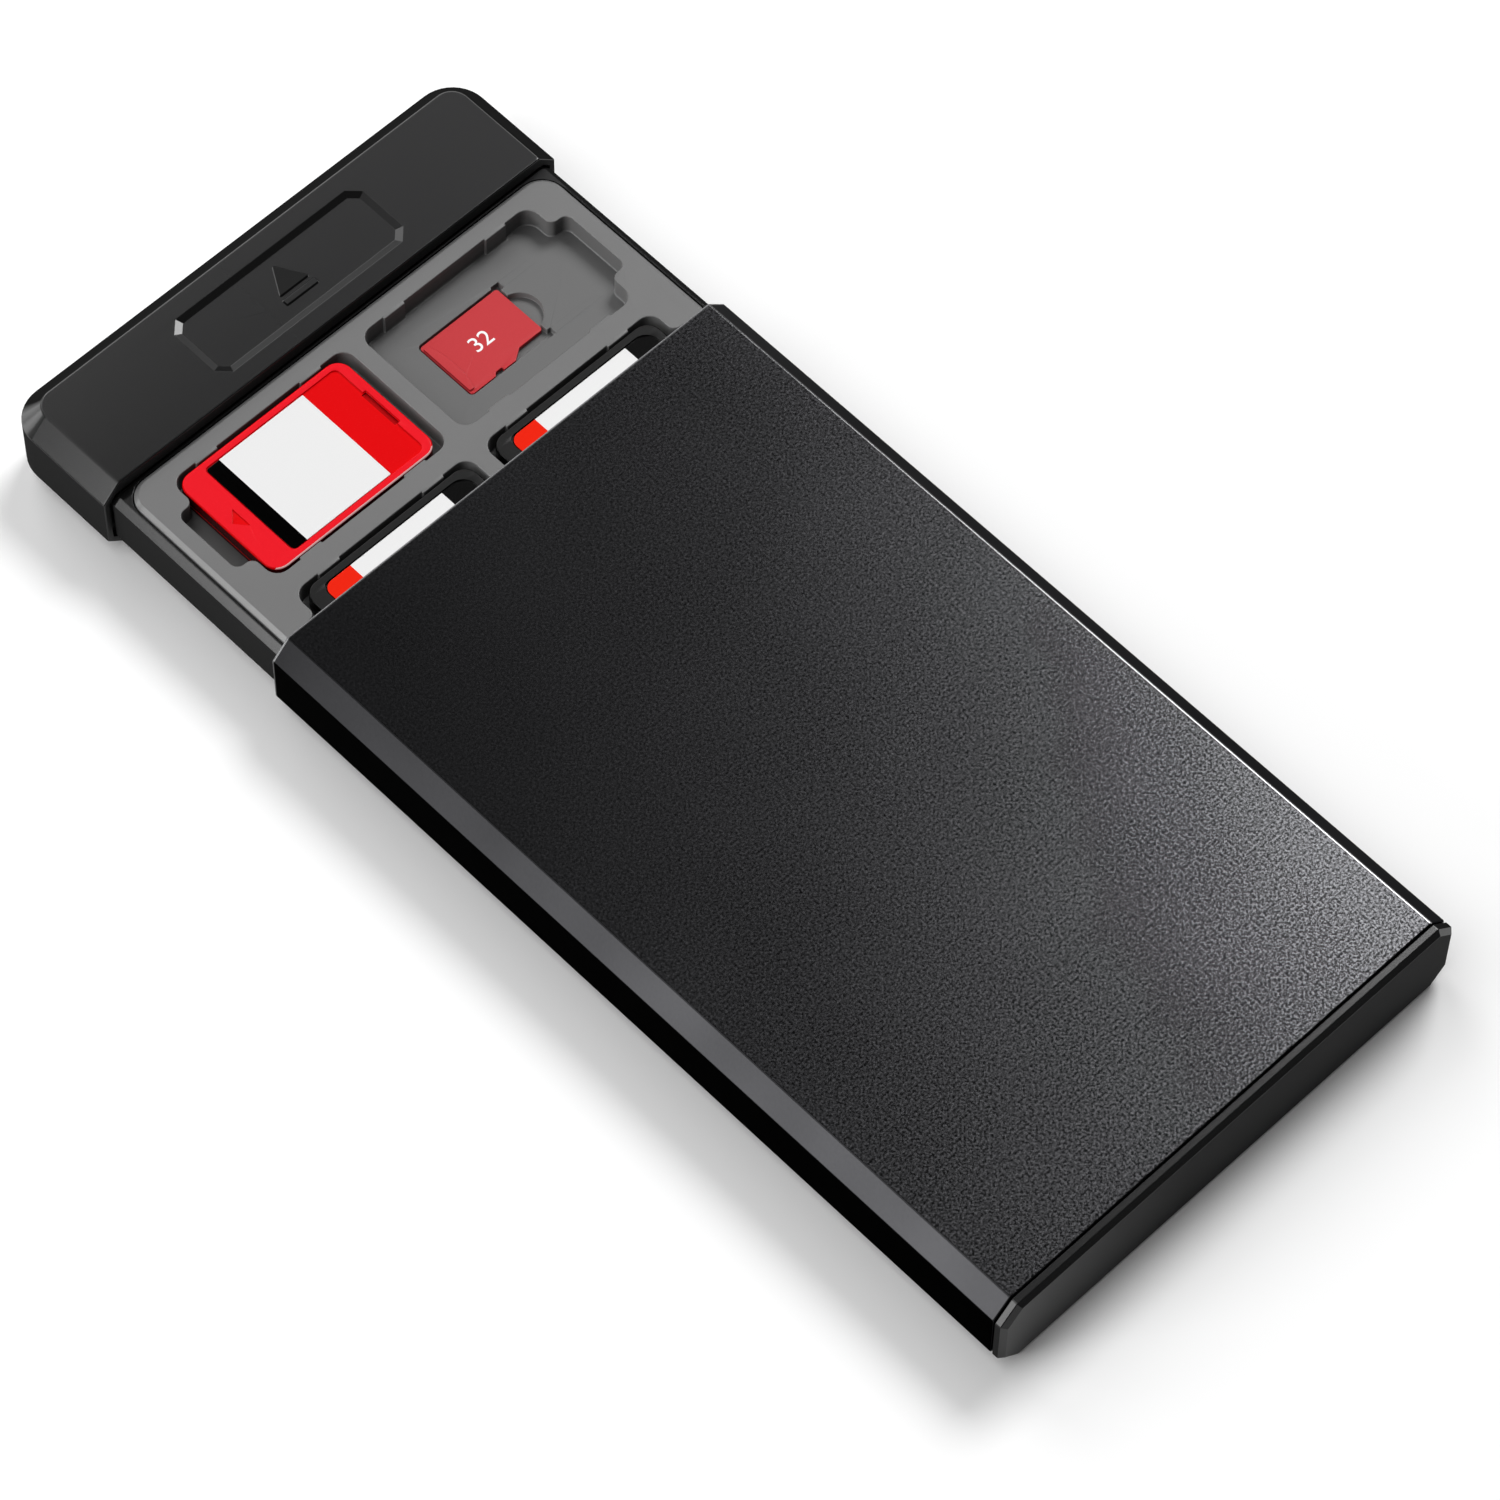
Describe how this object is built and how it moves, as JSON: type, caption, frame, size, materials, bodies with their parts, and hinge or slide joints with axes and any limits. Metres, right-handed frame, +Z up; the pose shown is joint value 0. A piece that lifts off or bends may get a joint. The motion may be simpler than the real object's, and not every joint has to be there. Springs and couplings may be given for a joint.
{
  "type": "game card case",
  "caption": "Slim octagonal aluminium sleeve with an end cap and a two-sided sliding drawer whose soft liners hold game cards and micro memory cards.",
  "frame": {"origin": "centre of the sleeve's flat underside", "axes": "+X across the case, +Y along it from the drawer's pull towards the end cap, +Z up out of the sleeve's top face"},
  "size_m": [0.0866, 0.1984, 0.015],
  "materials": {
    "anodised_aluminium": "fine sand-blasted and anodised, dark grey",
    "black_plastic": "fine matt moulded texture, black",
    "grey_rubber": "smooth soft moulded, mid grey",
    "red_plastic": "satin moulded, bright red",
    "card_black_plastic": "satin moulded, black",
    "circuit_board": "solder mask with bare contact pads",
    "printed_label": "coated printed film, white with one plain strip",
    "micro_card_red": "satin moulded, red"
  },
  "bodies": {
    "case": {"sleeve": "anodised_aluminium", "end_cap": "black_plastic"},
    "drawer": {"drawer_tray": "black_plastic", "drawer_pull": "black_plastic", "top_card_liner": "grey_rubber", "bottom_card_liner": "grey_rubber", "game_card_1_front_shell": "red_plastic", "game_card_1_back_shell": "red_plastic", "game_card_1_board": "circuit_board", "game_card_1_label": "printed_label", "game_card_2_front_shell": "card_black_plastic", "game_card_2_back_shell": "card_black_plastic", "game_card_2_board": "circuit_board", "game_card_2_label": "printed_label", "game_card_3_front_shell": "card_black_plastic", "game_card_3_back_shell": "card_black_plastic", "game_card_3_board": "circuit_board", "game_card_3_label": "printed_label", "micro_card": "micro_card_red"}
  },
  "joints": [
    {"name": "drawer_slide", "type": "slide", "parent": "case", "child": "drawer", "axis": [0, -1, 0], "range_m": [-0.03465, 0.0879]}
  ]
}
